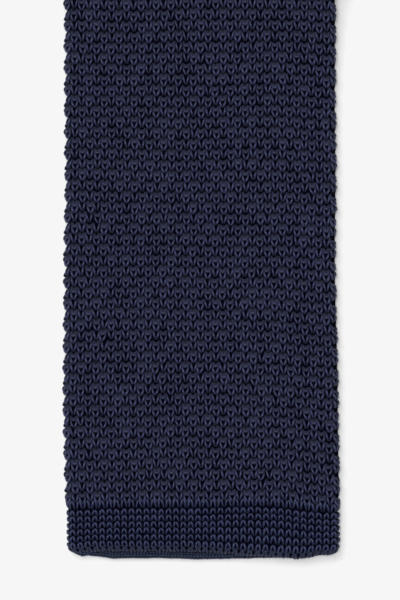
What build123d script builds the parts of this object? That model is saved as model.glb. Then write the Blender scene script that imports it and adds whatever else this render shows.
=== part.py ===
"""Knitted necktie with square ends, folded in half at the neck and laid flat.

The wide blade lies face up on top, and the narrower tail lies under it, face down.
+X runs across the tie, +Y along it from the blade's end to the fold, and +Z up.
The origin is under the middle of the folded tie, on the surface that it rests on.
"""
from build123d import *
import os

# --- driving dimensions, in millimetres -------------------------------------------------
FOLDED_LENGTH = 800.0      # blade's end to the outside of the neck fold
TAIL_SETBACK = 155.0       # how far short of the blade's end the tail's end stops
BLADE_WIDTH = 60.0
TAIL_WIDTH = 44.0
NECK_WIDTH = 32.0
BLADE_TAPER = (380.0, 640.0)   # distances from the blade's end where its taper starts and ends
TAIL_TAPER = (180.0, 420.0)    # the same, from the tail's end

KNIT = 1.4                 # thickness of one layer of the knitted fabric
TUBE_GAP = 0.4             # space between the tube's front and back layers
STACK_GAP = 2.0            # space between the tail and the blade that lies over it
BLADE_RISE = (100.0, 150.0)    # distances from the blade's end where it climbs on to the tail

HEM = 12.0                 # height of the plain hem at each end
FACING_SHOWS = 2.2         # how far the hem's back layer stands out past its front layer
HEM_WRAP = 1.5             # how much of each side the hem's front layer wraps round
SEAM_WIDTH = 2.0           # linked seam along the middle of the back

BAR_TACK = (6.0, 1.6, 0.5)     # across, along, thick
KEEPER_CENTRE = 235.0      # distance of the keeper loop from the blade's end
KEEPER_LENGTH = 12.0       # its size along the tie
KEEPER_THICK = 0.6
KEEPER_SLOT = 0.7          # height of the slot that the tail is passed through
KEEPER_INNER = 17.5        # half width of the slot
KEEPER_BEND = 1.5          # how far across each end of the loop slopes up to the blade
KEEPER_OUTER = 23.0        # half width over the sewn ends
KEEPER_TACK = (1.2, 9.0, 0.2)

LABEL = (40.0, 24.0, 0.3)
LABEL_CENTRE = 262.0
STITCH = (0.5, 1.6, 0.15)
STITCHES_PER_SIDE = 8

CARE_LABEL = (16.0, 27.0, 0.25)
CARE_LABEL_HINGE = 148.0   # distance of its sewn edge from the blade's end
CARE_LABEL_DROP = 4.1      # how much lower its free edge lies than its sewn edge

STAY_TAPE = (20.0, 240.0, 0.3)
STAY_TAPE_CLEAR = 1.0      # from the tape's end to the neck join

# --- worked out from them ---------------------------------------------------------------
TUBE = 2 * KNIT + TUBE_GAP             # thickness of a flattened tube
LIFT = TUBE + STACK_GAP                # how high the blade's back lies over the tail
FOLD_RADIUS = (LIFT + TUBE) / 2
FOLD_INNER = STACK_GAP / 2
BLADE_END = -FOLDED_LENGTH / 2
TAIL_END = BLADE_END + TAIL_SETBACK
FOLD_LINE = FOLDED_LENGTH / 2 - FOLD_RADIUS
WIDE = 2 * BLADE_WIDTH                 # wider than anything here, for slabs and cuts


def block(x, y, z):
    """A box from its lowest and highest value along each axis."""
    middle = [(low + high) / 2 for low, high in (x, y, z)]
    return Pos(*middle) * Box(x[1] - x[0], y[1] - y[0], z[1] - z[0])


def across(half, y, z):
    """A box centred on x = 0."""
    return block((-half, half), y, z)


def face_of(edges):
    return make_face(Curve() + edges)


def tapered_sheet(end, stop, taper, wide, narrow, height):
    """Plan of one half of the tie, straight, then tapering smoothly to the neck, as a tall solid."""
    start, finish = end + taper[0], end + taper[1]
    middle = (start + finish) / 2
    side = [
        Line((wide, end), (wide, start)),
        Bezier((wide, start), (wide, middle), (narrow, middle), (narrow, finish)),
        Line((narrow, finish), (narrow, stop)),
    ]
    other = [mirror(edge, about=Plane.YZ) for edge in side]
    ends = [Line((-wide, end), (wide, end)), Line((-narrow, stop), (narrow, stop))]
    return extrude(face_of(side + other + ends), height)


def risen(low, high):
    """A wide slab between two heights above the blade's back, which climbs on to the tail."""
    start, finish = (BLADE_END + distance for distance in BLADE_RISE)
    middle = (start + finish) / 2
    edges = []
    for height in (low, high):
        edges += [
            Line((BLADE_END, height), (start, height)),
            Bezier((start, height), (middle, height), (middle, height + LIFT), (finish, height + LIFT)),
            Line((finish, height + LIFT), (FOLD_LINE, height + LIFT)),
        ]
    edges += [
        Line((BLADE_END, low), (BLADE_END, high)),
        Line((FOLD_LINE, low + LIFT), (FOLD_LINE, high + LIFT)),
    ]
    profile = Plane.YZ * face_of(edges)
    return extrude(profile, WIDE / 2, both=True)


def flat(low, high):
    """A wide slab between two heights above the surface, for the tail."""
    return across(WIDE / 2, (TAIL_END, FOLD_LINE), (low, high))


def panel(slab, end, taper, width, back_low):
    """One half's knitted tube: a sheet with both sides folded to the back, where they meet."""
    height = LIFT + TUBE
    outer = tapered_sheet(end, FOLD_LINE, taper, width / 2, NECK_WIDTH / 2, height)
    inner = tapered_sheet(
        end, FOLD_LINE, taper, width / 2 - KNIT, NECK_WIDTH / 2 - KNIT, height
    )
    hem = across(WIDE / 2, (end, end + HEM), (0, TUBE))
    slot = across(SEAM_WIDTH / 2, (end, FOLD_LINE), (0, height)) & slab(back_low, back_low + KNIT)
    tube = (outer & slab(0, TUBE)) - (inner & slab(KNIT, KNIT + TUBE_GAP)) - slot - hem
    tack_low = 0 if back_low == 0 else TUBE - BAR_TACK[2]
    return tube - bar_tack(end, tack_low)


def bar_tack(end, low):
    """The tack across the seam's lower end, sunk into the back."""
    start = end + HEM
    return across(BAR_TACK[0] / 2, (start, start + BAR_TACK[1]), (low, low + BAR_TACK[2]))


def back_seam(slab, end, back_low, tack_low):
    """The linked chain that fills the gap between the two folded edges."""
    start = end + HEM
    chain = across(SEAM_WIDTH / 2, (start, FOLD_LINE), (0, LIFT + TUBE))
    return (chain & slab(back_low, back_low + KNIT)) - bar_tack(end, tack_low)


def hem_band(end, width, face_up):
    """The hem's front layer, in plain knitting, with both sides wrapped round the facing."""
    start = end + FACING_SHOWS
    whole = across(width / 2, (start, end + HEM), (0, TUBE))
    room = (0, TUBE - KNIT) if face_up else (KNIT, TUBE)
    return whole - across(width / 2 - HEM_WRAP, (start, end + HEM), room)


def hem_facing(end, width, face_up):
    """The hem's back layer, which stands out a little past the front one."""
    z = (0, KNIT) if face_up else (TUBE - KNIT, TUBE)
    return across(width / 2 - HEM_WRAP, (end, end + HEM), z)


def keeper_loop():
    """A strap across the blade's back, sewn down at both ends, seen in section and extruded."""
    back = LIFT
    slot_floor = back - KEEPER_SLOT
    slope = KEEPER_INNER + KEEPER_BEND
    half = [
        (0, slot_floor), (KEEPER_INNER, slot_floor), (slope, back), (KEEPER_OUTER, back),
        (KEEPER_OUTER, back - KEEPER_THICK), (slope, back - KEEPER_THICK),
        (KEEPER_INNER, slot_floor - KEEPER_THICK), (0, slot_floor - KEEPER_THICK),
    ]
    section = make_face(Polyline(*half, close=True))
    section += mirror(section, about=Plane.YZ)
    centre = BLADE_END + KEEPER_CENTRE
    upright = Plane(origin=(0, centre, 0), x_dir=(1, 0, 0), z_dir=(0, -1, 0))
    return extrude(upright * section, KEEPER_LENGTH / 2, both=True)


def keeper_stitches():
    """One tack on each sewn end of the keeper loop."""
    centre = BLADE_END + KEEPER_CENTRE
    top = LIFT - KEEPER_THICK
    reach = (KEEPER_INNER + KEEPER_BEND + KEEPER_OUTER) / 2
    return [
        Pos(side * reach, centre, top - KEEPER_TACK[2] / 2) * Box(*KEEPER_TACK)
        for side in (-1, 1)
    ]


def woven_label():
    """A blank label sewn flat on the blade's back."""
    return Pos(0, BLADE_END + LABEL_CENTRE, LIFT - LABEL[2] / 2) * Box(*LABEL)


def label_stitches():
    """A row of short stitches down each end of the blank label."""
    pitch = LABEL[1] / STITCHES_PER_SIDE
    first = BLADE_END + LABEL_CENTRE - LABEL[1] / 2 + pitch / 2
    under = LIFT - LABEL[2] - STITCH[2] / 2
    return [
        Pos(side * (LABEL[0] / 2 - 1), first + pitch * number, under) * Box(*STITCH)
        for side in (-1, 1)
        for number in range(STITCHES_PER_SIDE)
    ]


def care_label():
    """A blank flap that hangs from its sewn edge, in the hollow where the blade leaves the tail."""
    hinge_y, hinge_z = BLADE_END + CARE_LABEL_HINGE, LIFT - 0.5
    length, thick = CARE_LABEL[1], CARE_LABEL[2]
    free_y, free_z = hinge_y - length, hinge_z - CARE_LABEL_DROP
    edge = Plane.YZ * make_face(
        Polyline(
            (hinge_y, hinge_z), (free_y, free_z), (free_y, free_z + thick),
            (hinge_y, hinge_z + thick), close=True,
        )
    )
    return extrude(edge, CARE_LABEL[0] / 2, both=True)


def care_label_stitches():
    """The stitching that holds the care label's upper edge to the blade."""
    y = BLADE_END + CARE_LABEL_HINGE
    return across(CARE_LABEL[0] / 2, (y + 0.2, y + 1.4), (LIFT - 0.4, LIFT - 0.02))


def neck_join():
    """The linked join at the middle of the neck, bent round the fold."""
    ring = Cylinder(FOLD_RADIUS, NECK_WIDTH, rotation=(0, 90, 0))
    ring -= Cylinder(FOLD_INNER, NECK_WIDTH, rotation=(0, 90, 0))
    half = block((-WIDE, WIDE), (0, WIDE), (-WIDE, WIDE))
    return Pos(0, FOLD_LINE, FOLD_RADIUS) * (ring & half)


def stay_tape(low):
    """A thin woven tape inside the neck that stops the knitting from stretching."""
    stop = FOLD_LINE - STAY_TAPE_CLEAR
    bottom = low + KNIT + (TUBE_GAP - STAY_TAPE[2]) / 2
    return across(STAY_TAPE[0] / 2, (stop - STAY_TAPE[1], stop), (bottom, bottom + STAY_TAPE[2]))


def save(name, solids):
    """Writes one sub-part, which is a solid or a list of separate solids."""
    shape = Compound(children=list(solids)) if isinstance(solids, list) else solids
    export_step(shape, f"parts/{name}.step")


os.makedirs("parts", exist_ok=True)

save("blade_panel", panel(risen, BLADE_END, BLADE_TAPER, BLADE_WIDTH, 0))
save("blade_hem_band", hem_band(BLADE_END, BLADE_WIDTH, True))
save("blade_hem_facing", hem_facing(BLADE_END, BLADE_WIDTH, True))
save("blade_back_seam", back_seam(risen, BLADE_END, 0, 0))
save("blade_bar_tack", bar_tack(BLADE_END, 0))
save("blade_stay_tape", stay_tape(LIFT))
save("keeper_loop", keeper_loop())
save("keeper_stitches", keeper_stitches())
save("woven_label", woven_label())
save("label_stitches", label_stitches())
save("care_label", care_label())
save("care_label_stitches", care_label_stitches())
save("neck_join", neck_join())
save("tail_panel", panel(flat, TAIL_END, TAIL_TAPER, TAIL_WIDTH, TUBE - KNIT))
save("tail_hem_band", hem_band(TAIL_END, TAIL_WIDTH, False))
save("tail_hem_facing", hem_facing(TAIL_END, TAIL_WIDTH, False))
save("tail_back_seam", back_seam(flat, TAIL_END, TUBE - KNIT, TUBE - BAR_TACK[2]))
save("tail_bar_tack", bar_tack(TAIL_END, TUBE - BAR_TACK[2]))
save("tail_stay_tape", stay_tape(0))
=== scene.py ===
"""Knitted necktie: every stitch is yarn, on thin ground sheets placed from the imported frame.

Lengths are millimetres until a mesh is made. On a knitted piece, s runs round the flattened tube
from the middle of its face, v runs up from the free end, and h stands out from the ground sheet.
"""
import math

import bpy
import numpy as np
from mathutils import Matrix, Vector


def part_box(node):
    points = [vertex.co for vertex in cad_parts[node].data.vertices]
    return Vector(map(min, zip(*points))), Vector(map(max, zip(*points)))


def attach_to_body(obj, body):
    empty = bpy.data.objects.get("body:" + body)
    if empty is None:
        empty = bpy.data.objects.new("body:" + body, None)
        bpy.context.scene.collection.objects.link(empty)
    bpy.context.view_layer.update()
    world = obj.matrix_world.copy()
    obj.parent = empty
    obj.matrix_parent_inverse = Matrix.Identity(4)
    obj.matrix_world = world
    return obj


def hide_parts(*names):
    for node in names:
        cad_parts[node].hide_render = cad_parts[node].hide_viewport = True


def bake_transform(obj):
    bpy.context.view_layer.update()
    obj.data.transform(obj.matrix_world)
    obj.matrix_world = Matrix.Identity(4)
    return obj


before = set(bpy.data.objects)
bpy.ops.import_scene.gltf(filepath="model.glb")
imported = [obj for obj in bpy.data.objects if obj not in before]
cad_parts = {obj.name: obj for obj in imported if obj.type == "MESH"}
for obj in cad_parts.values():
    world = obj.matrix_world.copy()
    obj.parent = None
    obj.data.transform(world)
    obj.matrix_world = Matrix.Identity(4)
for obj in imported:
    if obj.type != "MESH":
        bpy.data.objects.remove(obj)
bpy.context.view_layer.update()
SEED = 11
rng = np.random.default_rng(SEED)

MM = 0.001


def box_mm(node):
    """A CAD node's lowest and highest corner, in millimetres."""
    low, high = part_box(node)
    return np.array(low) / MM, np.array(high) / MM


# --- sizes taken from the frame ---------------------------------------------------------
PANEL_LOW, PANEL_HIGH = box_mm("blade_panel")
TAIL_HIGH = box_mm("tail_panel")[1]
FOLD_LINE = PANEL_HIGH[1]
TUBE = TAIL_HIGH[2]                              # thickness of a flattened tube
FOLD_RADIUS = PANEL_HIGH[2] / 2                  # outside of the neck fold
LIFT = PANEL_HIGH[2] - TUBE                      # height of the blade's back over the tail
NECK_HALF = box_mm("neck_join")[1][0]
BLADE_HALF, TAIL_HALF = PANEL_HIGH[0], TAIL_HIGH[0]
BLADE_END = box_mm("blade_hem_facing")[0][1]
TAIL_END = box_mm("tail_hem_facing")[0][1]
HEM = PANEL_LOW[1] - BLADE_END                   # height of the plain hem

# --- the shape of the two halves, as the CAD part has it --------------------------------
# Each pair says from where to where, as distances up from that half's end.
BLADE_TAPER = (380.0, 640.0)
TAIL_TAPER = (180.0, 420.0)
BLADE_RISE = (100.0, 150.0)

# --- the knitting -----------------------------------------------------------------------
WALE = 1.635            # across one column of stitches
REPEAT = 4.62           # height of the pattern's repeat: one open V and one closed heart
COURSE = 1.4            # height of one row of plain knitting
GROUND = 0.90           # half the thickness of the tube of ground sheet
RELIEF = 0.68           # how far the stitches stand out from it
SIDE = GROUND + 0.37    # radius at which wales are spaced round the folded edges
SEAM_HALF = 1.0         # half the width that the back's wales leave for the seam
ALL_WALES = np.arange(-61, 62)    # more than go round the tube, counted from the middle of its face
FUZZ = 0.05             # how far the yarn stands past the CAD's outline
SCALLOP = 0.26          # how far the scallops go in and out along the folded edges

PATTERN_CREST = 0.66    # height of the pattern's highest yarn
PLAIN_CREST = 0.42      # height of the plain rows' highest yarn
HOLLOW_DEPTH = 0.75     # from a stitch's crest down to where the yarn's painted shade is deepest

HEM_ROWS = 8
HEM_STEP = 1.38         # height of one plain row
HEM_TOP = HEM + 0.4     # where the plain rows end and the pattern begins
HEM_FOOT = HEM_TOP - HEM_ROWS * HEM_STEP - 0.25
FACING_SHOWS = 1.5      # how far the hem's back layer stands out past its front layer
CURL_START = 3.4        # below this height the front layer's lower edge rolls down
CURL_RADIUS = 1.2
CURL_ANGLE = 1.25
CURL_LEVEL = 0.7        # height over the tube's middle of the layer that keeps its length

FOLD_GAP = 0.25         # between a half's ground sheet and the fold line
FOLD_CLEAR = 0.05       # between its last stitches and the fold line
END_SLACK = 0.1         # a last repeat may reach this far past the fold line

FINE_LENGTH = 135.0     # this far up the blade the stitches have their finest yarn


def ease(t):
    """A smooth step from 0 to 1."""
    t = np.clip(t, 0, 1)
    return t * t * (3 - 2 * t)


def rising(value, start, over):
    """From 0 at start to 1 at start + over."""
    return ease((value - start) / over)


def falling(value, start, over):
    """From 1 at start to 0 at start + over."""
    return 1 - rising(value, start, over)


def bezier_step(y, start, finish):
    """From 0 to 1 along the same smooth curve that the CAD part's outlines use."""
    t = np.linspace(0, 1, 60)
    along = start + (finish - start) * (t**3 - (1 - t) ** 3 + 1) / 2
    return np.interp(y, along, ease(t))


def bump(value, centre, width):
    """A rounded hill, 1 high."""
    return np.exp(-(((value - centre) / width) ** 2))


def way_round(s, flat):
    """For a place s round a tube: its side, its way along the flat, its turn, and what is past it."""
    reach = np.abs(s)
    turn = np.clip((reach - flat) / SIDE, 0, math.pi)
    past = np.clip(reach - flat - math.pi * SIDE, 0, None)
    return np.sign(s), np.minimum(reach, flat), turn, past


class Half:
    """One half of the tie, a flattened tube that is straight at its end and tapers to the neck."""

    def __init__(self, name, end, half_width, taper, face):
        self.name = name
        self.end = end
        self.half_width = half_width
        self.taper = taper
        self.face = face            # 1 for the blade, face up, and -1 for the tail, face down
        self.length = FOLD_LINE - end

    def half_at(self, v):
        """Half the width at distance v from the end."""
        narrowing = bezier_step(v, *self.taper)
        return self.half_width + FUZZ + (NECK_HALF - self.half_width) * narrowing

    def flat_at(self, v):
        """Half the width of the flat face, between the folded edges."""
        return self.half_at(v) - GROUND - RELIEF

    def around(self, v):
        """Half the way round the tube."""
        return 2 * self.flat_at(v) + math.pi * SIDE

    def middle(self, y):
        """Height of the middle of the tube."""
        if self.face > 0:
            return TUBE / 2 + LIFT * bezier_step(y - self.end, *BLADE_RISE)
        return np.full_like(y, TUBE / 2)

    def fitted(self, x, v):
        """Draws each edge in a little, and rounds the hem's corners.

        Each corner is given as its lowest height and its radius, for the left and then the right.
        """
        if self.face > 0:
            widest_at = 38
            left = 0.22 + 0.25 * ease(np.abs(v - widest_at) / 20) + 0.30 * falling(v, 8, 8)
            right = 0.06 + 0.75 * rising(v, 25, 50)
            corners = ((0.9, 3.2), (1.5, 2.5))
        else:
            left = right = 0.3 * falling(v, HEM, 4)
            corners = ((0.9, 2.4), (0.9, 2.4))
        sides = []
        for drawn, (lowest, radius) in zip((left, right), corners):
            into = np.clip(1 - (v - lowest) / radius, 0, 1)
            sides.append(drawn + radius * (1 - np.sqrt(1 - into**2)))
        return x * (1 - np.where(x < 0, *sides) / self.half_at(v))

    def scallop(self, side, v):
        """The lobes of the folded edges, one to a repeat, which begin above the hem.

        lobe_at is where in the repeat a lobe is, as a share of it, and skew makes it lean.
        """
        lobe_at = np.where(side < 0, 0.37, 0.95)
        skew = np.where(side < 0, 0.0, 0.35)
        swing = 2 * math.pi * ((v - HEM_TOP) / REPEAT - lobe_at)
        return SCALLOP * (np.cos(swing) - skew * np.sin(2 * swing)) * rising(v, HEM_TOP, 3)

    def place(self, s, v, h):
        """Points in the frame for places on the knitting."""
        narrowest = 0.5
        side, on_flat, turn, past = way_round(s, np.maximum(self.flat_at(v), narrowest))
        at_edge = bump(turn, math.pi / 2, 0.8)
        out = GROUND + h + self.scallop(side, v) * at_edge
        x = side * (on_flat + out * np.sin(turn) - past)
        along, rise = self.curled(v, out * np.cos(turn))
        x = self.fitted(x, v) + self.sway(v)
        y = self.end + along
        z = rise * self.face + self.middle(y) - self.droop(x, y)
        return np.stack([x, y + self.sag(x, v), z], axis=-1)

    def curled(self, v, rise):
        """The hem's front edge rolls down over the back layer."""
        turn = np.clip((CURL_START - v) / CURL_RADIUS, 0, CURL_ANGLE)
        below = np.clip(CURL_START - v - turn * CURL_RADIUS, 0, None)
        arm = CURL_RADIUS + rise - CURL_LEVEL
        rolled_y = CURL_START - arm * np.sin(turn) - below * np.cos(turn)
        rolled_z = CURL_LEVEL - CURL_RADIUS + arm * np.cos(turn) - below * np.sin(turn)
        in_curl = v < CURL_START
        on_front = rising(rise, 0, 0.8)
        along = np.where(in_curl, v + (rolled_y - v) * on_front, v)
        return along, np.where(in_curl, rise + (rolled_z - rise) * on_front, rise)

    def sway(self, v):
        """The whole width wanders a little from side to side, as knitting does."""
        return 0.10 * np.sin(v / 13.0 + 1) + 0.07 * np.sin(v / 5.7)

    def sag(self, x, v):
        """The courses bend down at the edges, and the hem's front edge is not quite even."""
        if self.face < 0:
            return 0.25 * np.sin(x / 9.0) * falling(v, 0, 40)
        at_right = 0.85 * rising(x, 14, 14) * (1 - 0.6 * rising(v, 60, 60))
        at_left = 0.40 * rising(-x, 22, 6) * falling(v, 0, 30)
        unrolled = falling(v, 1.5, 7) * (1.45 * rising(x, -4, 17) - 1.35 * rising(x, 20, 7))
        slow = 0.16 * np.sin(x / 9 + v / 17) + 0.10 * np.sin(x / 4.1 - v / 7)
        return slow - at_right - at_left - unrolled

    def droop(self, x, y):
        """The blade's edges hang a little where they reach out past the tail under them."""
        if self.face < 0:
            return 0.0
        deepest, gap = 1.5, 0.5
        tail_half = TAIL_HALF + (NECK_HALF - TAIL_HALF) * bezier_step(y - TAIL_END, *TAIL_TAPER)
        over = np.clip(np.abs(x) - tail_half - gap, 0, None)
        return deepest * rising(over, 0, 8) * rising(y, TAIL_END, 25)


blade = Half("blade", BLADE_END, BLADE_HALF, BLADE_TAPER, 1)
tail = Half("tail", TAIL_END, TAIL_HALF, TAIL_TAPER, -1)


# --- materials --------------------------------------------------------------------------
COLOUR_A, COLOUR_B, COLOUR_OUT = 6, 7, 2     # a Mix node's sockets for colours
WHITE = (1, 1, 1)


def grey(value):
    return (value,) * 3


class Nodes:
    """A short way to write a Principled material."""

    def __init__(self, name, colour, roughness):
        self.mat = bpy.data.materials.new(name)
        self.mat.use_nodes = True
        self.tree = self.mat.node_tree
        self.shader = self.tree.nodes["Principled BSDF"]
        self.set(self.shader, "Base Color", (*colour, 1))
        self.set(self.shader, "Roughness", roughness)
        self.mat.diffuse_color = (*colour, 1)

    def set(self, node, socket, value):
        node.inputs[socket].default_value = value

    def add(self, kind, **values):
        """A new node, with its sockets' or its own values given by name."""
        node = self.tree.nodes.new(kind)
        for key, value in values.items():
            if key in node.inputs:
                node.inputs[key].default_value = value
            else:
                setattr(node, key, value)
        return node

    def link(self, a, out, b, into):
        self.tree.links.new(a.outputs[out], b.inputs[into])

    def scaled_sum(self, a, a_out, factor, b, b_out):
        """The first value times the factor, plus the second."""
        node = self.add("ShaderNodeMath", operation="MULTIPLY_ADD")
        self.link(a, a_out, node, 0)
        node.inputs[1].default_value = factor
        self.link(b, b_out, node, 2)
        return node

    def darkened(self, a, a_out, b, b_out):
        """One colour times another. Gives the mix node, whose colour output is COLOUR_OUT."""
        node = self.add("ShaderNodeMix", data_type="RGBA", blend_type="MULTIPLY")
        node.inputs["Factor"].default_value = 1
        self.link(a, a_out, node, COLOUR_A)
        self.link(b, b_out, node, COLOUR_B)
        return node

    def raise_by(self, source, out, strength, distance):
        """Bump on the surface, for relief finer than its mesh."""
        node = self.add("ShaderNodeBump")
        self.set(node, "Strength", strength)
        self.set(node, "Distance", distance * MM)
        self.link(source, out, node, "Height")
        self.link(node, "Normal", self.shader, "Normal")

    def ramp(self, source, out, stops):
        """A colour ramp over a texture's output."""
        node = self.add("ShaderNodeValToRGB")
        self.link(source, out, node, "Fac")
        while len(node.color_ramp.elements) < len(stops):
            node.color_ramp.elements.new(0.5)
        for element, (position, colour) in zip(node.color_ramp.elements, stops):
            element.position = position
            element.color = (*colour, 1)
        return node


def shade(colour, factor):
    """A lighter or darker tone of a colour."""
    return tuple(min(1, c * factor) for c in colour)


def yarn_material(name, colour, fibres=9.0, twist=0.9, flank_shade=0.18):
    """Smooth twisted yarn. Its map has u from 0 to 1 round the yarn, and v along it in millimetres.

    fibres / pi plies lie round the yarn, and twist is their turns to a millimetre. The yarn is painted
    darker low on its sides as shade, to the share of its colour given for the flanks, and to deepest deep
    down.
    """
    deepest, roughness, dulling = 0.22, 0.38, 0.45
    n = Nodes(name, colour, roughness)
    uv = n.add("ShaderNodeUVMap", uv_map="yarn")
    parts = n.add("ShaderNodeSeparateXYZ")
    n.link(uv, "UV", parts, "Vector")
    turned = n.scaled_sum(parts, "Y", twist, parts, "X")
    joined = n.add("ShaderNodeCombineXYZ")
    n.link(turned, "Value", joined, "X")
    n.link(parts, "Y", joined, "Y")
    ply = n.add("ShaderNodeTexWave", wave_type="BANDS", bands_direction="X", wave_profile="SIN")
    n.set(ply, "Scale", fibres / 10)
    n.set(ply, "Distortion", 1.2)
    n.set(ply, "Detail", 3.0)
    n.link(joined, "Vector", ply, "Vector")
    filament = n.add("ShaderNodeMapping")
    n.set(filament, "Scale", (fibres * 2.2, 1.1, 1))
    n.link(joined, "Vector", filament, "Vector")
    noise = n.add("ShaderNodeTexNoise")
    n.set(noise, "Scale", 1.6)
    n.set(noise, "Detail", 4.0)
    n.link(filament, "Vector", noise, "Vector")

    tone = n.ramp(noise, "Fac", [(0.25, shade(colour, 0.72)), (0.5, colour), (0.78, shade(colour, 1.45))])
    # Painted shade: the yarn is lighter along its top and darker low on its sides, as light falls on a
    # round strand.
    crown = n.ramp(parts, "X", [(0.12, grey(flank_shade)), (0.5, WHITE), (0.88, grey(flank_shade))])
    crown.color_ramp.interpolation = "EASE"
    # Painted shade: the deeper the yarn lies between the stitches, the darker its colour.
    hollow = n.add("ShaderNodeAttribute", attribute_name="hollow")
    painted_depth_shade = n.ramp(hollow, "Fac", [(0, WHITE), (1, grey(deepest))])
    flank_shaded_tone = n.darkened(tone, "Color", crown, "Color")
    painted_shade_colour = n.darkened(flank_shaded_tone, COLOUR_OUT, painted_depth_shade, "Color")
    n.link(painted_shade_colour, COLOUR_OUT, n.shader, "Base Color")

    rough = n.add("ShaderNodeMapRange")
    n.link(noise, "Fac", rough, "Value")
    n.set(rough, "To Min", roughness - 0.10)
    n.set(rough, "To Max", roughness + 0.14)
    dull = n.scaled_sum(hollow, "Fac", dulling, rough, "Result")
    n.link(dull, "Value", n.shader, "Roughness")
    n.raise_by(n.scaled_sum(ply, "Fac", 0.6, noise, "Fac"), "Value", strength=0.25, distance=0.06)
    n.set(n.shader, "Sheen Weight", 0.1)
    n.set(n.shader, "Sheen Roughness", 0.45)
    n.set(n.shader, "Sheen Tint", (0.55, 0.6, 0.85, 1))
    n.set(n.shader, "Specular IOR Level", 0.36)
    n.set(n.shader, "Specular Tint", (0.75, 0.82, 1.0, 1))
    return n.mat


def woven_material(name, colour, grain, roughness, contrast=0.2, sheen=0.0, shine=0.3):
    """A woven cloth, whose threads cross every 2 pi times its grain, in millimetres."""
    n = Nodes(name, colour, roughness)
    place = n.add("ShaderNodeTexCoord")
    turned_by = 20           # radians to a unit of length, in a wave texture whose scale is 1
    waves = []
    for direction in ("X", "Y"):
        wave = n.add("ShaderNodeTexWave", wave_type="BANDS", bands_direction=direction)
        n.set(wave, "Scale", 1 / (grain * MM) / turned_by)
        n.set(wave, "Distortion", 0.6)
        n.link(place, "Object", wave, "Vector")
        waves.append(wave)
    cross = n.add("ShaderNodeMath", operation="MULTIPLY")
    n.link(waves[0], "Fac", cross, 0)
    n.link(waves[1], "Fac", cross, 1)
    noise = n.add("ShaderNodeTexNoise")
    n.set(noise, "Scale", 900.0)
    n.link(place, "Object", noise, "Vector")
    mixed = n.scaled_sum(cross, "Value", 0.7, noise, "Fac")
    tone = n.ramp(mixed, "Value", [(0.2, shade(colour, 1 - contrast)), (0.9, shade(colour, 1 + contrast))])
    n.link(tone, "Color", n.shader, "Base Color")
    n.raise_by(cross, "Value", strength=0.3, distance=0.05)
    n.set(n.shader, "Sheen Weight", sheen)
    n.set(n.shader, "Specular IOR Level", shine)
    return n.mat


YARN = yarn_material("navy_yarn", (0.0228, 0.0267, 0.075), flank_shade=0.16)
HEM_YARN = yarn_material("hem_yarn", (0.0178, 0.0235, 0.071), flank_shade=0.24)
# Near-black cloth under the stitches: painted shade for the shadow seen between them.
PAINTED_SHADE_GROUND = woven_material("knit_ground", (0.0012, 0.0012, 0.005), 0.5, 0.9, shine=0.01)
FACING_YARN = yarn_material("facing_yarn", (0.014, 0.024, 0.060), flank_shade=0.3)
THREAD = yarn_material("sewing_thread", (0.018, 0.022, 0.060), fibres=5.0, twist=2.5)
LABEL_SATIN = woven_material("label_satin", (0.030, 0.035, 0.085), 0.22, 0.35, sheen=0.3)
CARE_SATIN = woven_material("care_satin", (0.74, 0.73, 0.69), 0.2, 0.38, contrast=0.05)
TAPE = woven_material("twill_tape", (0.04, 0.045, 0.09), 0.5, 0.75)


# --- yarn -------------------------------------------------------------------------------
def strand(points, radii, sides, flatness=(1, 1, 1)):
    """A closed tube of yarn as (middles, offsets, quads, map): offsets are from middles to skin."""
    points = np.array(points, float)
    radii = np.array(radii, float)
    along = np.gradient(points, axis=0)
    along /= np.linalg.norm(along, axis=1)[:, None]
    across = np.cross(along, (0, 0, 1))
    across /= np.maximum(np.linalg.norm(across, axis=1)[:, None], 1e-6)
    up = np.cross(across, along)
    angle = 2 * math.pi * (np.arange(sides) + 0.5) / sides - math.pi / 2
    ring = np.cos(angle)[None, :, None] * across[:, None] + np.sin(angle)[None, :, None] * up[:, None]
    offsets = (ring * radii[:, None, None]).reshape(-1, 3) * flatness
    middles = np.repeat(points, sides, axis=0)
    length = np.concatenate([[0], np.cumsum(np.linalg.norm(np.diff(points, axis=0), axis=1))])
    quads, uvs = [], []
    for number in range(len(points) - 1):
        low, high = number * sides, (number + 1) * sides
        bottom, top = length[number], length[number + 1]
        for side in range(sides):
            other = (side + 1) % sides
            quads.append((low + side, low + other, high + other, high + side))
            left, right = side / sides, (side + 1) / sides
            uvs += [(left, bottom), (right, bottom), (right, top), (left, top)]
    for start, back in ((0, True), ((len(points) - 1) * sides, False)):
        for corner in range(0, sides - 2, 2):
            cap = [start, start + corner + 1, start + corner + 2, start + (corner + 3) % sides]
            quads.append(tuple(reversed(cap)) if back else tuple(cap))
            uvs += [(0.5, length[0] if back else length[-1])] * 4
    return middles, offsets, np.array(quads), np.array(uvs)


def joined(strands):
    """Several strands as one template, each with its own stretch of the yarn's map."""
    map_shift = 7.3
    middles, offsets, quads, uvs, count = [], [], [], [], 0
    for number, (m, o, q, t) in enumerate(strands):
        middles.append(m)
        offsets.append(o)
        quads.append(q + count)
        uvs.append(t + (0, map_shift * number))
        count += len(m)
    return tuple(np.concatenate(a) for a in (middles, offsets, quads, uvs))


def both_sides(points, radii, sides):
    """A strand and its mirror image across the wale."""
    other = [(-u, v, h) for u, v, h in points]
    return [strand(points, radii, sides), strand(other, radii, sides)]


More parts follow.
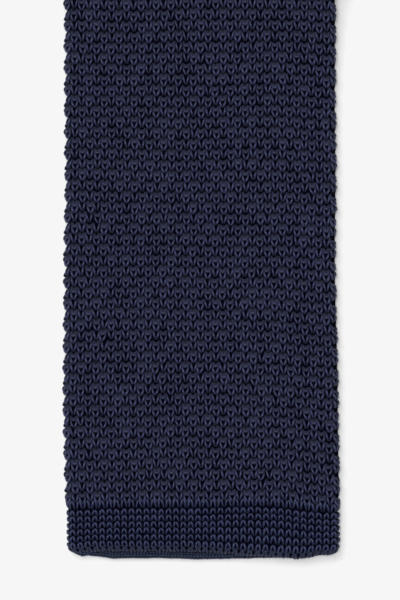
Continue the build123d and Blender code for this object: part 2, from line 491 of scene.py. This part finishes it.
# A stitch's shape is points along its yarn and the yarn's radius at each. The points give how far
# across in wales, how far up and how far out. A leg has a mirror image on its wale's other side.
OPEN_V = (
    [(-0.34, 4.68, -0.34), (-0.365, 4.46, -0.08), (-0.355, 4.20, 0.16), (-0.33, 3.92, 0.34),
     (-0.29, 3.66, 0.44), (-0.24, 3.42, 0.46), (-0.19, 3.18, 0.40), (-0.15, 2.94, 0.24),
     (-0.13, 2.70, -0.02), (-0.12, 2.44, -0.34)],
    [0.17, 0.215, 0.25, 0.27, 0.275, 0.27, 0.255, 0.225, 0.18, 0.13],
)
HEART = (
    [(-0.35, 1.62, -0.24), (-0.375, 1.36, 0.04), (-0.37, 1.08, 0.26), (-0.345, 0.82, 0.38),
     (-0.295, 0.58, 0.47), (-0.225, 0.36, 0.51), (-0.155, 0.17, 0.47), (-0.095, 0.02, 0.28),
     (-0.06, -0.16, -0.16)],
    [0.17, 0.21, 0.24, 0.265, 0.28, 0.28, 0.265, 0.22, 0.14],
)
SADDLES = [
    ([(-0.58, 2.10, -0.36), (-0.47, 1.84, -0.10), (-0.33, 1.60, 0.06), (-0.16, 1.45, 0.13),
      (0.0, 1.41, 0.14),
      (0.16, 1.45, 0.13), (0.33, 1.60, 0.06), (0.47, 1.84, -0.10), (0.58, 2.10, -0.36)],
     [0.16, 0.20, 0.245, 0.265, 0.265, 0.265, 0.245, 0.20, 0.16]),
    ([(-0.58, 2.50, -0.36), (-0.48, 2.26, -0.10), (-0.34, 2.00, -0.02), (-0.17, 1.84, -0.10),
      (0.0, 1.78, -0.12),
      (0.17, 1.84, -0.10), (0.34, 2.00, -0.02), (0.48, 2.26, -0.10), (0.58, 2.50, -0.36)],
     [0.16, 0.20, 0.24, 0.23, 0.225, 0.23, 0.24, 0.20, 0.16]),
    ([(-0.54, 2.72, -0.40), (-0.40, 2.44, -0.20), (-0.20, 2.22, -0.24), (0.0, 2.15, -0.27),
      (0.20, 2.22, -0.24), (0.40, 2.44, -0.20), (0.54, 2.72, -0.40)],
     [0.16, 0.21, 0.23, 0.23, 0.23, 0.21, 0.16]),
]
PLAIN = (
    [(-0.50, 1.40, 0.24), (-0.405, 1.375, 0.33), (-0.315, 1.22, 0.40), (-0.26, 0.98, 0.42),
     (-0.22, 0.74, 0.34), (-0.19, 0.54, 0.16), (-0.17, 0.34, -0.10), (-0.155, 0.14, -0.34)],
    [0.23, 0.25, 0.265, 0.27, 0.26, 0.225, 0.17, 0.12],
)
SADDLE_FLATNESS = (1.0, 1.2, 0.85)

# Coarse stitches keep these points of each shape.
V_KEPT = (2, 4, 6, 9)
HEART_KEPT = (0, 2, 4, 6, 8)
SADDLE_KEPT = (0, 2, 4, 6, 8)
PLAIN_KEPT = (0, 2, 4, 6)
FINE_SIDES, COARSE_SIDES = 8, 4

# These shapes are in millimetres, because they aren't spaced in wales.
PURL = (
    [(-0.36, -0.03, -0.08), (-0.20, 0.02, 0.08), (0.0, 0.05, 0.13), (0.20, 0.02, 0.08),
     (0.36, -0.03, -0.08)],
    [0.17, 0.215, 0.23, 0.215, 0.17],
)
LINK = (
    [(-0.50, -0.42, 0.10), (-0.36, -0.16, 0.44), (0.0, 0.0, 0.56), (0.36, 0.16, 0.44), (0.50, 0.42, 0.10)],
    [0.18, 0.25, 0.27, 0.25, 0.18],
)


def in_wales(shape):
    """A stitch's shape with its widths turned from wales into millimetres."""
    points, radii = shape
    return [(u * WALE, v, h) for u, v, h in points], radii


def thin_out(shape, kept):
    points, radii = shape
    return [points[i] for i in kept], [radii[i] for i in kept]


def legs(shape, kept, fine):
    """A stitch's two legs, with fewer points and sides where they aren't fine."""
    if fine:
        return both_sides(*in_wales(shape), FINE_SIDES)
    return both_sides(*in_wales(thin_out(shape, kept)), COARSE_SIDES)


def pattern_stitch(fine):
    """One repeat of the pattern: an open V over a closed heart, with loops across the heart's top."""
    strands = legs(OPEN_V, V_KEPT, fine) + legs(HEART, HEART_KEPT, fine)
    if fine:
        strands += [strand(*in_wales(saddle), FINE_SIDES, SADDLE_FLATNESS) for saddle in SADDLES]
    else:
        saddle = thin_out(SADDLES[0], SADDLE_KEPT)
        strands.append(strand(*in_wales(saddle), COARSE_SIDES, SADDLE_FLATNESS))
    return joined(strands)


def v_alone(fine):
    return joined(legs(OPEN_V, V_KEPT, fine))


def plain_stitch(fine):
    return joined(legs(PLAIN, PLAIN_KEPT, fine))


def repeated(template, s, v, place, wander=1.0, crest=PATTERN_CREST):
    """One template at every (s, v), with small differences between stitches.

    Gives points, quads, map and how hollow each point lies: 0 at the crest's height, 1 deep down.
    """
    shift_spread, shift_limit = (0.03, 0.06, 0.03), 0.12
    thick_spread, thinnest, thickest = 0.07, 0.84, 1.16
    lean_spread = 0.045
    yarn_length = 90
    middles, offsets, quads, uvs = template
    count = len(s)
    shift = wander * rng.normal(0, shift_spread, (count, 1, 3)).clip(-shift_limit, shift_limit)
    thick = rng.normal(1, thick_spread, (count, 1, 1)).clip(thinnest, thickest)
    lean = wander * rng.normal(0, lean_spread, (count, 1))
    centre = (middles[:, 1].min() + middles[:, 1].max()) / 2
    local = middles[None] + offsets[None] * thick
    local[:, :, 0] += lean * (local[:, :, 1] - centre)
    local = local + shift
    points = place(local[:, :, 0] + s[:, None], local[:, :, 1] + v[:, None], local[:, :, 2])
    faces = quads[None] + (np.arange(count) * len(middles))[:, None, None]
    maps = uvs[None] + np.stack([np.zeros(count), rng.uniform(0, yarn_length, count)], 1)[:, None]
    # How deep each point lies below the crest; it darkens the yarn as painted shade, and makes it duller.
    hollow = ((crest - local[:, :, 2]) / HOLLOW_DEPTH).clip(0, 1)
    return points.reshape(-1, 3), faces.reshape(-1, 4), maps.reshape(-1, 2), hollow.ravel()


# --- meshes -----------------------------------------------------------------------------
def quad_mesh(name, points, quads, material, uvs=None, hollow=None):
    """A smooth mesh of quads, from points in millimetres."""
    mesh = bpy.data.meshes.new(name)
    mesh.vertices.add(len(points))
    mesh.vertices.foreach_set("co", (points * MM).astype(np.float32).ravel())
    mesh.loops.add(quads.size)
    mesh.loops.foreach_set("vertex_index", quads.astype(np.int32).ravel())
    mesh.polygons.add(len(quads))
    mesh.polygons.foreach_set("loop_start", np.arange(0, quads.size, 4, dtype=np.int32))
    mesh.polygons.foreach_set("use_smooth", np.ones(len(quads), bool))
    if uvs is not None:
        layer = mesh.uv_layers.new(name="yarn")
        layer.data.foreach_set("uv", uvs.astype(np.float32).ravel())
    if hollow is not None:
        # Depth of each point, for the yarn's painted shade.
        layer = mesh.attributes.new("hollow", "FLOAT", "POINT")
        layer.data.foreach_set("value", hollow.astype(np.float32))
    mesh.materials.append(material)
    mesh.update(calc_edges=True)
    piece = bpy.data.objects.new(name, mesh)
    bpy.context.scene.collection.objects.link(piece)
    return piece


def several(parts):
    """Joins groups of (points, quads, and any more arrays) into one."""
    counts = np.cumsum([0] + [len(part[0]) for part in parts])
    moved = [(part[0], part[1] + count, *part[2:]) for part, count in zip(parts, counts)]
    return [np.concatenate(arrays) for arrays in zip(*moved)]


def thick_sheet(name, outer, inner, material):
    """A closed sheet between two grids of points with the same shape."""
    rows, columns = outer.shape[:2]
    points = np.concatenate([outer.reshape(-1, 3), inner.reshape(-1, 3)])
    index = np.arange(rows * columns).reshape(rows, columns)
    top = np.stack([index[:-1, :-1], index[:-1, 1:], index[1:, 1:], index[1:, :-1]], -1).reshape(-1, 4)
    under = top[:, ::-1] + rows * columns
    rim = np.concatenate([index[0, :], index[1:, -1], index[-1, -2::-1], index[-2:0:-1, 0]])
    after = np.roll(rim, -1)
    edge = np.stack([after, rim, rim + rows * columns, after + rows * columns], -1)
    return quad_mesh(name, points, np.concatenate([top, under, edge]), material)


def sheet_along(name, place, s, v, outside, inside, material):
    """A thick sheet between two heights h over the places (s, v)."""
    outer = place(s, v, np.full(s.shape, outside))
    inner = place(s, v, np.full(s.shape, inside))
    return thick_sheet(name, outer, inner, material)


def attach(piece, body, slot, *nodes):
    """Puts a piece on its body and hides the CAD nodes that it stands for; its slot is not used."""
    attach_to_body(piece, body)
    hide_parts(*nodes)
    return piece


# --- the two knitted tubes --------------------------------------------------------------
def clear_of_seam(half, s, v):
    """Whether a wale at s keeps clear of the chain up the middle of the back."""
    return np.abs(s) < half.around(v) - SEAM_HALF - WALE / 2


def repeats_between(half, low, high):
    """Where the pattern's repeats start, from v = low to high. Every second wale is half a repeat up."""
    tiny = 1e-6
    first = math.ceil((low - HEM_TOP) / REPEAT - tiny)
    last = math.ceil((high - HEM_TOP) / REPEAT - tiny)
    widest = half.around(np.array([low, (low + high) / 2, high])).max()
    count = int(widest / WALE) + 1
    columns, rows = np.meshgrid(np.arange(-count, count + 1), np.arange(first, last))
    column, row = columns.ravel(), rows.ravel()
    v = HEM_TOP + (row + np.where(column % 2 == 1, 0.5, 0)) * REPEAT
    s = column * WALE
    kept = clear_of_seam(half, s, v) & (v + REPEAT < half.length + END_SLACK)
    return s[kept], v[kept]


def on_face(half, s, v):
    """Whether a stitch lies on the face or most of the way round a folded edge."""
    share_of_turn = 0.75
    return np.abs(s) < half.flat_at(v) + share_of_turn * math.pi * SIDE


def first_gaps(half):
    """Every second wale of the pattern begins half a repeat lower, with an open V alone."""
    s = ALL_WALES[::2] * WALE
    s = s[clear_of_seam(half, s, HEM_TOP)]
    return repeated(v_alone(half is blade), s, np.full(len(s), HEM_TOP - REPEAT / 2), half.place)


def knitted_band(half, number, low, high, fine):
    """One length of the patterned knitting."""
    s, v = repeats_between(half, low, high)
    groups = []
    front = on_face(half, s, v) & fine
    if front.any():
        groups.append(repeated(pattern_stitch(True), s[front], v[front], half.place))
    if (~front).any():
        groups.append(repeated(pattern_stitch(False), s[~front], v[~front], half.place))
    if number == 1:
        groups.append(first_gaps(half))
    points, quads, *maps = several(groups)
    piece = quad_mesh(f"{half.name}_knit_{number:02d}", points, quads, YARN, *maps)
    return attach(piece, half.name, "knit", f"{half.name}_panel")


def last_rows(half):
    """Plain rows that fill each wale from its last whole repeat up to just short of the fold."""
    top = half.length - 0.3
    starts = []
    for column in ALL_WALES:
        first = HEM_TOP + (column % 2) * REPEAT / 2
        whole = math.floor((half.length + END_SLACK - first) / REPEAT)
        end = first + whole * REPEAT
        rows = round((top - end) / COURSE)
        for row in range(rows):
            starts.append((column * WALE, end + row * (top - end) / rows))
    s, v = np.array(starts).T
    inside = clear_of_seam(half, s, v)

    def up_to_fold(s, v, h):
        """As the half's own places, with none past the fold."""
        return half.place(s, np.minimum(v, half.length - FOLD_CLEAR), h)

    points, quads, *maps = repeated(
        plain_stitch(False), s[inside], v[inside], up_to_fold, crest=PLAIN_CREST,
    )
    piece = quad_mesh(f"{half.name}_last_rows", points, quads, YARN, *maps)
    return attach(piece, half.name, "knit", f"{half.name}_panel")


def knitted_bands(half, fine_length):
    """All the patterned knitting, in lengths that keep each piece to a sensible size."""
    fine_repeats, coarse_repeats = 4, 16
    starts = [HEM_TOP]
    while starts[-1] < half.length - 3 * REPEAT:
        repeats = fine_repeats if starts[-1] < fine_length else coarse_repeats
        starts.append(starts[-1] + repeats * REPEAT)
    return [
        knitted_band(half, number, start, stop, start < fine_length)
        for number, (start, stop) in enumerate(zip(starts, starts[1:]), start=1)
    ]


def ground_sheet(half):
    """The thin sheet under the stitches, folded round from the back seam to itself. Its near-black colour
    is painted shade, standing for the shadow between the stitches.
    """
    columns, hem_rows, rows = 97, 14, 170
    outside, inside = -0.08, -0.34
    gap = 0.05                              # between each side edge and the middle of the back
    v = np.unique(np.concatenate([
        np.linspace(FACING_SHOWS + 0.3, HEM, hem_rows), np.linspace(HEM, half.length - FOLD_GAP, rows),
    ]))
    s = np.linspace(-1, 1, columns)[None, :] * (half.around(v)[:, None] - gap)
    v = np.repeat(v[:, None], columns, axis=1)
    higher_at_right = 1.1 * rising(s, 20, 6) * falling(v, FACING_SHOWS, 5)
    v = v + higher_at_right
    turn = (np.abs(s) - half.flat_at(v)) / SIDE
    fuller_at_edge = 0.22 * bump(turn, math.pi / 2, 0.9)
    outer = half.place(s, v, fuller_at_edge + outside)
    inner = half.place(s, v, fuller_at_edge + inside)
    return thick_sheet(f"{half.name}_ground", outer, inner, PAINTED_SHADE_GROUND)


def flat_area(half):
    """Area of the flat strip that the tube is folded from, in square metres."""
    v = np.linspace(FACING_SHOWS, half.length, 400)
    return float(np.trapz(2 * half.around(v), v)) * MM * MM


def hem_stitches(half):
    """The plain rows of the hem, over its front and round its sides."""
    middles, *rest = plain_stitch(half is blade)
    first_up, last_stretch, curled_row_shade_crest = 0.35, 1.45, 0.9
    share_of_turn = 0.8
    groups = []
    for row in range(HEM_ROWS):
        lowest, highest = row == 0, row == HEM_ROWS - 1
        v = HEM_FOOT + row * HEM_STEP + (first_up if lowest else 0)
        reach = half.flat_at(v) + share_of_turn * math.pi * SIDE
        s = ALL_WALES * WALE
        s = s[np.abs(s) < reach]
        stretched = middles * (1, last_stretch if highest else 1, 1)
        # The lowest row, which rolls under the hem, is given a higher crest so that it takes more painted
        # shade.
        crest = curled_row_shade_crest if lowest else PLAIN_CREST
        groups.append(repeated((stretched, *rest), s, np.full(len(s), v), half.place, crest=crest))
    points, quads, *maps = several(groups)
    piece = quad_mesh(f"{half.name}_hem_stitches", points, quads, HEM_YARN, *maps)
    return attach(piece, half.name, "hem_knit", f"{half.name}_hem_band")


def facing_edge(half, x):
    """How far up from the tie's end the back layer's folded edge lies."""
    if half.face < 0:
        return 0.15 + 0.12 * np.sin(x / 5)
    across = (-28.2, -25.8, -24.4, -19, -9, 0, 10, 22, 28)
    height = (1.5, 0.65, 0.9, 0.2, 0.3, 0.03, 0.25, 0.5, 1.2)
    return np.interp(x, across, height) + 0.03 * np.sin(x / 0.9)


def hem_facing(half):
    """The hem's back layer: a finer knit, folded, whose folded edge shows under the front layer."""
    width = half.half_width - 1.6
    middle, bend = 0.65, 0.41               # height of its middle, and the radius of its fold
    upper, lower = 4.0, HEM + 0.2           # lengths of its two layers
    round_fold = math.pi * bend
    corner, corner_up, thinnest = 1.8, 1.4, 0.3

    def place(s, v, h):
        """v runs down the upper layer, round the fold and up the lower layer."""
        turn = np.clip((v - upper) / bend, 0, math.pi)
        past = np.clip(v - upper - round_fold, 0, None)
        depth = np.where(v < upper, bend + upper - v, bend * (1 - np.sin(turn)) + past)
        from_side = np.clip((width - np.abs(s)) / corner, 0, 1)
        end = np.sqrt(np.clip(1 - (1 - from_side) ** 2, 0, 1))
        out = np.cos(turn) * (bend * end.clip(thinnest, 1) + h)
        y = half.end + depth + facing_edge(half, s) - h * np.sin(turn) + corner_up * (1 - end)
        z = middle + out
        return np.stack([s, y, z if half.face > 0 else TUBE - z], -1)

    wale, course = 0.68, 0.50
    columns = np.arange(-width + 0.5, width - 0.3, wale)
    rows = np.arange(0.4, upper + round_fold + lower - 1.0, course)
    s, v = (a.ravel() for a in np.meshgrid(columns, rows))
    points, quads, *maps = repeated(strand(*PURL, 6), s, v, place, wander=0.35, crest=0.3)
    knit = quad_mesh(f"{half.name}_facing_knit", points, quads, FACING_YARN, *maps)
    along = np.concatenate([
        np.linspace(0, upper, 9), upper + bend * np.linspace(0.2, 3, 9),
        upper + round_fold + np.linspace(0, lower - 0.5, 13),
    ])
    s, v = np.meshgrid(np.linspace(-width, width, 140), along)
    ground = sheet_along(f"{half.name}_facing_ground", place, s, v, -0.04, -0.20, PAINTED_SHADE_GROUND)
    for piece in (knit, ground):
        attach(piece, half.name, "hem_knit", f"{half.name}_hem_facing")


def back_seam(half):
    """The linked chain up the middle of the back."""
    step, size, proud = 1.8, 1.15, 0.10
    v = np.arange(HEM + 0.6, half.length - step - 0.5, step)
    middles, offsets, quads, uvs = plain_stitch(False)
    chain = (middles * (size, step / COURSE, 1.0) + (0, 0, proud), offsets * size, quads, uvs)

    def place(s, v, h):
        """s runs across the chain, from the middle of the back."""
        points = half.place(half.around(v), v, h)
        points[..., 0] = s
        return points

    points, quads, *maps = repeated(chain, np.zeros(len(v)), v, place)
    piece = quad_mesh(f"{half.name}_seam_chain", points, quads, YARN, *maps)
    return attach(piece, half.name, "linking_yarn", f"{half.name}_back_seam")


def threads(name, starts, stops, radius=0.11, bow=0.0, up=1.0):
    """Short straight stitches of sewing thread, each bowed out a little."""
    points_each, sides = 5, 6
    parts = []
    for a, b in zip(np.array(starts, float), np.array(stops, float)):
        t = np.linspace(0, 1, points_each)[:, None]
        line = a + (b - a) * t + np.array([0, 0, up]) * bow * np.sin(math.pi * t)
        middles, offsets, quads, uvs = strand(line, np.full(points_each, radius), sides)
        parts.append((middles + offsets, quads, uvs))
    points, quads, uvs = several(parts)
    return quad_mesh(name, points, quads, THREAD, uvs)


def bar_tack(half):
    """A short dense tack across the lower end of the back seam."""
    low, high = box_mm(f"{half.name}_bar_tack")
    count, lean, radius = 17, 0.12, 0.13
    z = low[2] + 0.14 if half.face > 0 else high[2] - 0.12
    across = np.linspace(low[0], high[0], count)
    starts = [(x - lean, low[1], z) for x in across]
    stops = [(x + lean, high[1], z) for x in across]
    piece = threads(f"{half.name}_tack", starts, stops, radius=radius)
    return attach(piece, half.name, "sewing_thread", f"{half.name}_bar_tack")


def make_half(half, fine_length):
    """A whole half of the tie, with its ground sheet."""
    ground = attach(ground_sheet(half), half.name, "knit", f"{half.name}_panel")
    on_it = knitted_bands(half, fine_length)
    on_it += [last_rows(half), hem_stitches(half), back_seam(half), bar_tack(half)]
    hem_facing(half)
    straight_part = np.array([50.0])
    widest = 2 * float(half.around(straight_part)[0])
    flat_area(half)


# --- the neck ---------------------------------------------------------------------------
def neck_join():
    """The knitting that bends round the fold, with the linked join across its middle."""
    middle_radius = FOLD_RADIUS - TUBE / 2
    flat = NECK_HALF - GROUND - RELIEF
    width = 2 * flat + math.pi * SIDE
    arc = math.pi * (middle_radius + GROUND)

    def place(s, turn, h):
        """turn goes from 0 at the blade to pi at the tail."""
        side, on_flat, around, past = way_round(s, flat)
        out = GROUND + h
        x = side * (on_flat + out * np.sin(around) - past)
        radius = middle_radius + out * np.cos(around)
        y = FOLD_LINE + radius * np.sin(turn)
        return np.stack([x, y, FOLD_RADIUS + radius * np.cos(turn)], -1)

    def on_arc(s, v, h):
        return place(s, v / arc * math.pi, h)

    rows = round(arc / COURSE)
    count = int(width / WALE)
    columns = np.arange(-count, count + 1) * WALE
    s, v = (a.ravel() for a in np.meshgrid(columns, np.arange(rows) * (arc / rows)))
    points, quads, *maps = repeated(plain_stitch(False), s, v, on_arc, crest=PLAIN_CREST)
    knit = quad_mesh("neck_knit", points, quads, YARN, *maps)

    overlap = 0.06
    turns = np.linspace(-overlap, math.pi + overlap, 35)
    s, turn = np.meshgrid(np.linspace(-width, width, 81), turns)
    ground = sheet_along("neck_ground", place, s, turn, -0.04, -0.30, PAINTED_SHADE_GROUND)

    pitch, reach = 0.82, flat + 1.2
    x = np.arange(-reach, reach, pitch)
    points, quads, *maps = repeated(strand(*LINK, 6), x, np.full(len(x), arc / 2), on_arc, wander=0.5)
    seam = quad_mesh("neck_linking", points, quads, YARN, *maps)
    return knit, ground, seam


def make_neck():
    """Fixes each of the neck's pieces where it lies, and hides the CAD's neck join."""
    for piece in neck_join():
        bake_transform(piece)
        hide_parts("neck_join")


# --- keeper loop and labels -------------------------------------------------------------
def keeper_loop():
    """A narrow knitted strap across the blade's back."""
    low, high = box_mm("keeper_loop")
    length, width = high[0] - low[0], high[1] - low[1]
    thick = 0.6
    centre_y = (low[1] + high[1]) / 2
    bottom, drop = low[2] + thick / 2, high[2] - low[2] - thick
    inner, bend = 17.5, 1.5                 # where the strap turns up to the cloth, and over how far

    def place(a, b, h):
        """a runs along the strap, b across it and h stands out downwards."""
        rise = drop * rising(np.abs(a), inner, bend)
        edge = np.sqrt(np.clip(1 - (np.abs(b) / (width / 2)) ** 8, 0, 1))
        return np.stack([a, centre_y + b, bottom + rise - h * edge], -1)

    pitch, course, height = 0.92, 0.9, 0.58

    def turned(p):
        """A plain stitch's points, smaller and with its wale along the strap."""
        return np.stack([p[:, 1] * course / COURSE, p[:, 0] * pitch / WALE, p[:, 2] * height], -1)

    middles, offsets, quads, uvs = plain_stitch(False)
    template = (turned(middles) + (0, 0, 0.02), turned(offsets * 1.05), quads[:, ::-1], uvs)
    along = np.arange(-length / 2 + 0.3, length / 2 - course, course)
    across = np.arange(-width / 2 + pitch * 0.6, width / 2 - pitch * 0.4, pitch)
    a, b = (grid.ravel() for grid in np.meshgrid(along, across))
    points, quads, *maps = repeated(template, a, b, place, wander=0.5, crest=PLAIN_CREST)
    stitches = quad_mesh("keeper_stitchwork", points, quads, HEM_YARN, *maps)
    a, b = np.meshgrid(np.linspace(-length / 2, length / 2, 93), np.linspace(-width / 2, width / 2, 25))
    strap = sheet_along("keeper_strap", place, a, b, -0.28, 0.02, PAINTED_SHADE_GROUND)
    for piece in (stitches, strap):
        attach(piece, "blade", "keeper_knit", "keeper_loop")


def keeper_tacks():
    """A row of tacks at each end of the strap."""
    low, high = box_mm("keeper_stitches")
    count, length, lean, inset = 19, 1.1, 0.15, 0.2
    z = low[2] + 0.06
    starts, stops = [], []
    for side in (-1, 1):
        for y in np.linspace(low[1] + inset, high[1] - inset, count):
            starts.append((side * (high[0] - length), y, z))
            stops.append((side * high[0], y + lean, z))
    piece = threads("keeper_tacks", starts, stops, bow=0.04, up=-1)
    attach(piece, "blade", "sewing_thread", "keeper_stitches")


def woven_label():
    """A blank label with folded ends, drawn in a little where it is sewn."""
    low, high = box_mm("woven_label")
    x, y = np.meshgrid(np.linspace(low[0], high[0], 81), np.linspace(low[1], high[1], 49))
    middle = (low[2] + high[2]) / 2
    half_x, half_y = high[0], (high[1] - low[1]) / 2
    across, along = x / half_x, (y - (low[1] + high[1]) / 2) / half_y
    crown = ((1 - across**8) * (1 - along**8)).clip(0, 1)
    ripple = 1 + 0.2 * np.sin(x / 3.1) * np.cos(y / 2.7)
    turned_in = 3                           # width of the folded ends
    folded = 0.04 * (1 + np.tanh((np.abs(x) - half_x + turned_in) * 4))
    outer = np.stack([x, y, middle - 0.05 - 0.10 * crown * ripple - folded], -1)
    inner = np.stack([x, y, np.full(x.shape, middle + 0.12)], -1)
    label = thick_sheet("blank_label", inner, outer, LABEL_SATIN)
    attach(label, "blade", "woven_satin", "woven_label")


def label_threads():
    """Stitches down both ends of the woven label."""
    low, high = box_mm("label_stitches")
    pitch, length = 3.0, 1.6
    z = high[2] - 0.05
    starts, stops = [], []
    for side in (-1, 1):
        x = side * (high[0] - 0.25)
        for y in np.arange(low[1], high[1] - 1, pitch):
            starts.append((x, y, z))
            stops.append((x, y + length, z))
    piece = threads("label_threads", starts, stops, bow=0.05, up=-1)
    attach(piece, "blade", "sewing_thread", "label_stitches")


def care_label():
    """A blank satin ribbon, folded double, hanging from its sewn edge."""
    low, high = box_mm("care_label")
    half_thick = 0.10
    x, t = np.meshgrid(np.linspace(low[0], high[0], 33), np.linspace(0, 1, 41))
    y = high[1] + (low[1] - high[1]) * t
    sewn, free = high[2] - 0.12, low[2] + 0.22
    line = sewn + (free - sewn) * t + 0.28 * np.sin(math.pi * t) * np.cos(x / 9)
    curl = 0.16 * rising(t, 0.7, 0.3) * np.cos(x / high[0] * 2.2)
    z = line + curl
    outer = np.stack([x, y, z + half_thick], -1)
    inner = np.stack([x, y, z - half_thick], -1)
    ribbon = thick_sheet("care_ribbon", outer, inner, CARE_SATIN)
    attach(ribbon, "care_label", "care_satin", "care_label")


def care_label_threads():
    """Stitches along the ribbon's sewn edge."""
    low, high = box_mm("care_label_stitches")
    pitch, length = 2.2, 1.5
    y, z = (low[1] + high[1]) / 2, low[2] + 0.12
    across = np.arange(low[0] + 0.5, high[0] - length, pitch)
    starts = [(x, y, z) for x in across]
    stops = [(x + length, y, z) for x in across]
    piece = threads("care_label_threads", starts, stops, bow=0.05, up=-1)
    attach(piece, "blade", "sewing_thread", "care_label_stitches")


def stay_tapes():
    """The tape inside the neck keeps its CAD shape and gets a twill."""
    for node in ("blade_stay_tape", "tail_stay_tape"):
        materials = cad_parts[node].data.materials
        materials.clear()
        materials.append(TAPE)


# --- the room ---------------------------------------------------------------------------
def camera():
    """Straight down on the blade's end, framed so that 129.6 mm of the surface fills the height."""
    view_height, lens, sensor = 129.6, 200.0, 36.0
    up_the_blade, to_the_left = 56.0, 0.2
    data = bpy.data.cameras.new("camera")
    data.lens = lens
    data.sensor_width = sensor
    data.clip_start = 0.01
    data.clip_end = 200
    seen = bpy.data.objects.new("camera", data)
    distance = view_height * lens / sensor
    seen.location = (-to_the_left * MM, (BLADE_END + up_the_blade) * MM, (TUBE + distance) * MM)
    bpy.context.scene.collection.objects.link(seen)
    bpy.context.scene.camera = seen


def floor():
    """A pale flat floor, in metres, that curves up into a backdrop a long way off."""
    middle, flat, curve, corners = 4.0, 18.0, 8.0, 64
    turn = np.linspace(0, math.pi / 2, 13)
    radii = np.concatenate([[middle, flat / 2], flat + curve * np.sin(turn)])
    heights = np.concatenate([[0, 0], curve * (1 - np.cos(turn))])
    around = np.linspace(0, 2 * math.pi, corners, endpoint=False)
    rings = np.stack([
        np.outer(radii, np.cos(around)), np.outer(radii, np.sin(around)),
        np.repeat(heights[:, None], corners, axis=1),
    ], -1)
    index = np.arange(rings.shape[0] * corners).reshape(-1, corners)
    after = np.roll(index, -1, axis=1)
    walls = np.stack([index[:-1], index[1:], after[1:], after[:-1]], -1).reshape(-1, 4)
    mesh = bpy.data.meshes.new("floor")
    mesh.from_pydata(rings.reshape(-1, 3).tolist(), [], [index[0].tolist()] + walls.tolist())
    mesh.shade_smooth()
    ground = bpy.data.objects.new("floor", mesh)
    bpy.context.scene.collection.objects.link(ground)
    surface = Nodes("pale_floor", grey(0.86), 0.9)
    surface.set(surface.shader, "Specular IOR Level", 0.2)
    mesh.materials.append(surface.mat)


def distant_light(name, comes_from, width, strength):
    """A soft light so far off that it falls evenly on all of the floor; width is in degrees."""
    data = bpy.data.lights.new(name, "SUN")
    data.angle = math.radians(width)
    data.energy = strength
    lamp = bpy.data.objects.new(name, data)
    lamp.rotation_mode = "QUATERNION"
    lamp.rotation_quaternion = (-Vector(comes_from)).to_track_quat("-Z", "Y")
    bpy.context.scene.collection.objects.link(lamp)


def tone():
    """Everything brighter than the pale surface comes out as one even tone, as on a lit table."""
    white, all_channels = 0.922, 3
    view = bpy.context.scene.view_settings
    view.view_transform = "Standard"
    view.use_curve_mapping = True
    curve = view.curve_mapping.curves[all_channels]
    curve.points[1].location = (1.0, white)
    knee = curve.points.new(white, white)
    knee.handle_type = "VECTOR"
    view.curve_mapping.extend = "HORIZONTAL"
    view.curve_mapping.update()


def room():
    """The floor, an even white surround and two soft lights."""
    world = bpy.data.worlds.new("studio")
    world.use_nodes = True
    surround = world.node_tree.nodes["Background"]
    surround.inputs["Color"].default_value = (*WHITE, 1)
    surround.inputs["Strength"].default_value = 0.15
    bpy.context.scene.world = world
    distant_light("key", (-0.55, 0.75, 0.95), width=39, strength=1.52)
    distant_light("overhead", (-0.1, 0.1, 1.3), width=26, strength=2.01)
    floor()
    tone()


camera()
room()
make_half(blade, FINE_LENGTH)
make_half(tail, fine_length=0)
make_neck()
keeper_loop()
keeper_tacks()
woven_label()
label_threads()
care_label()
care_label_threads()
stay_tapes()

bpy.context.view_layer.update()
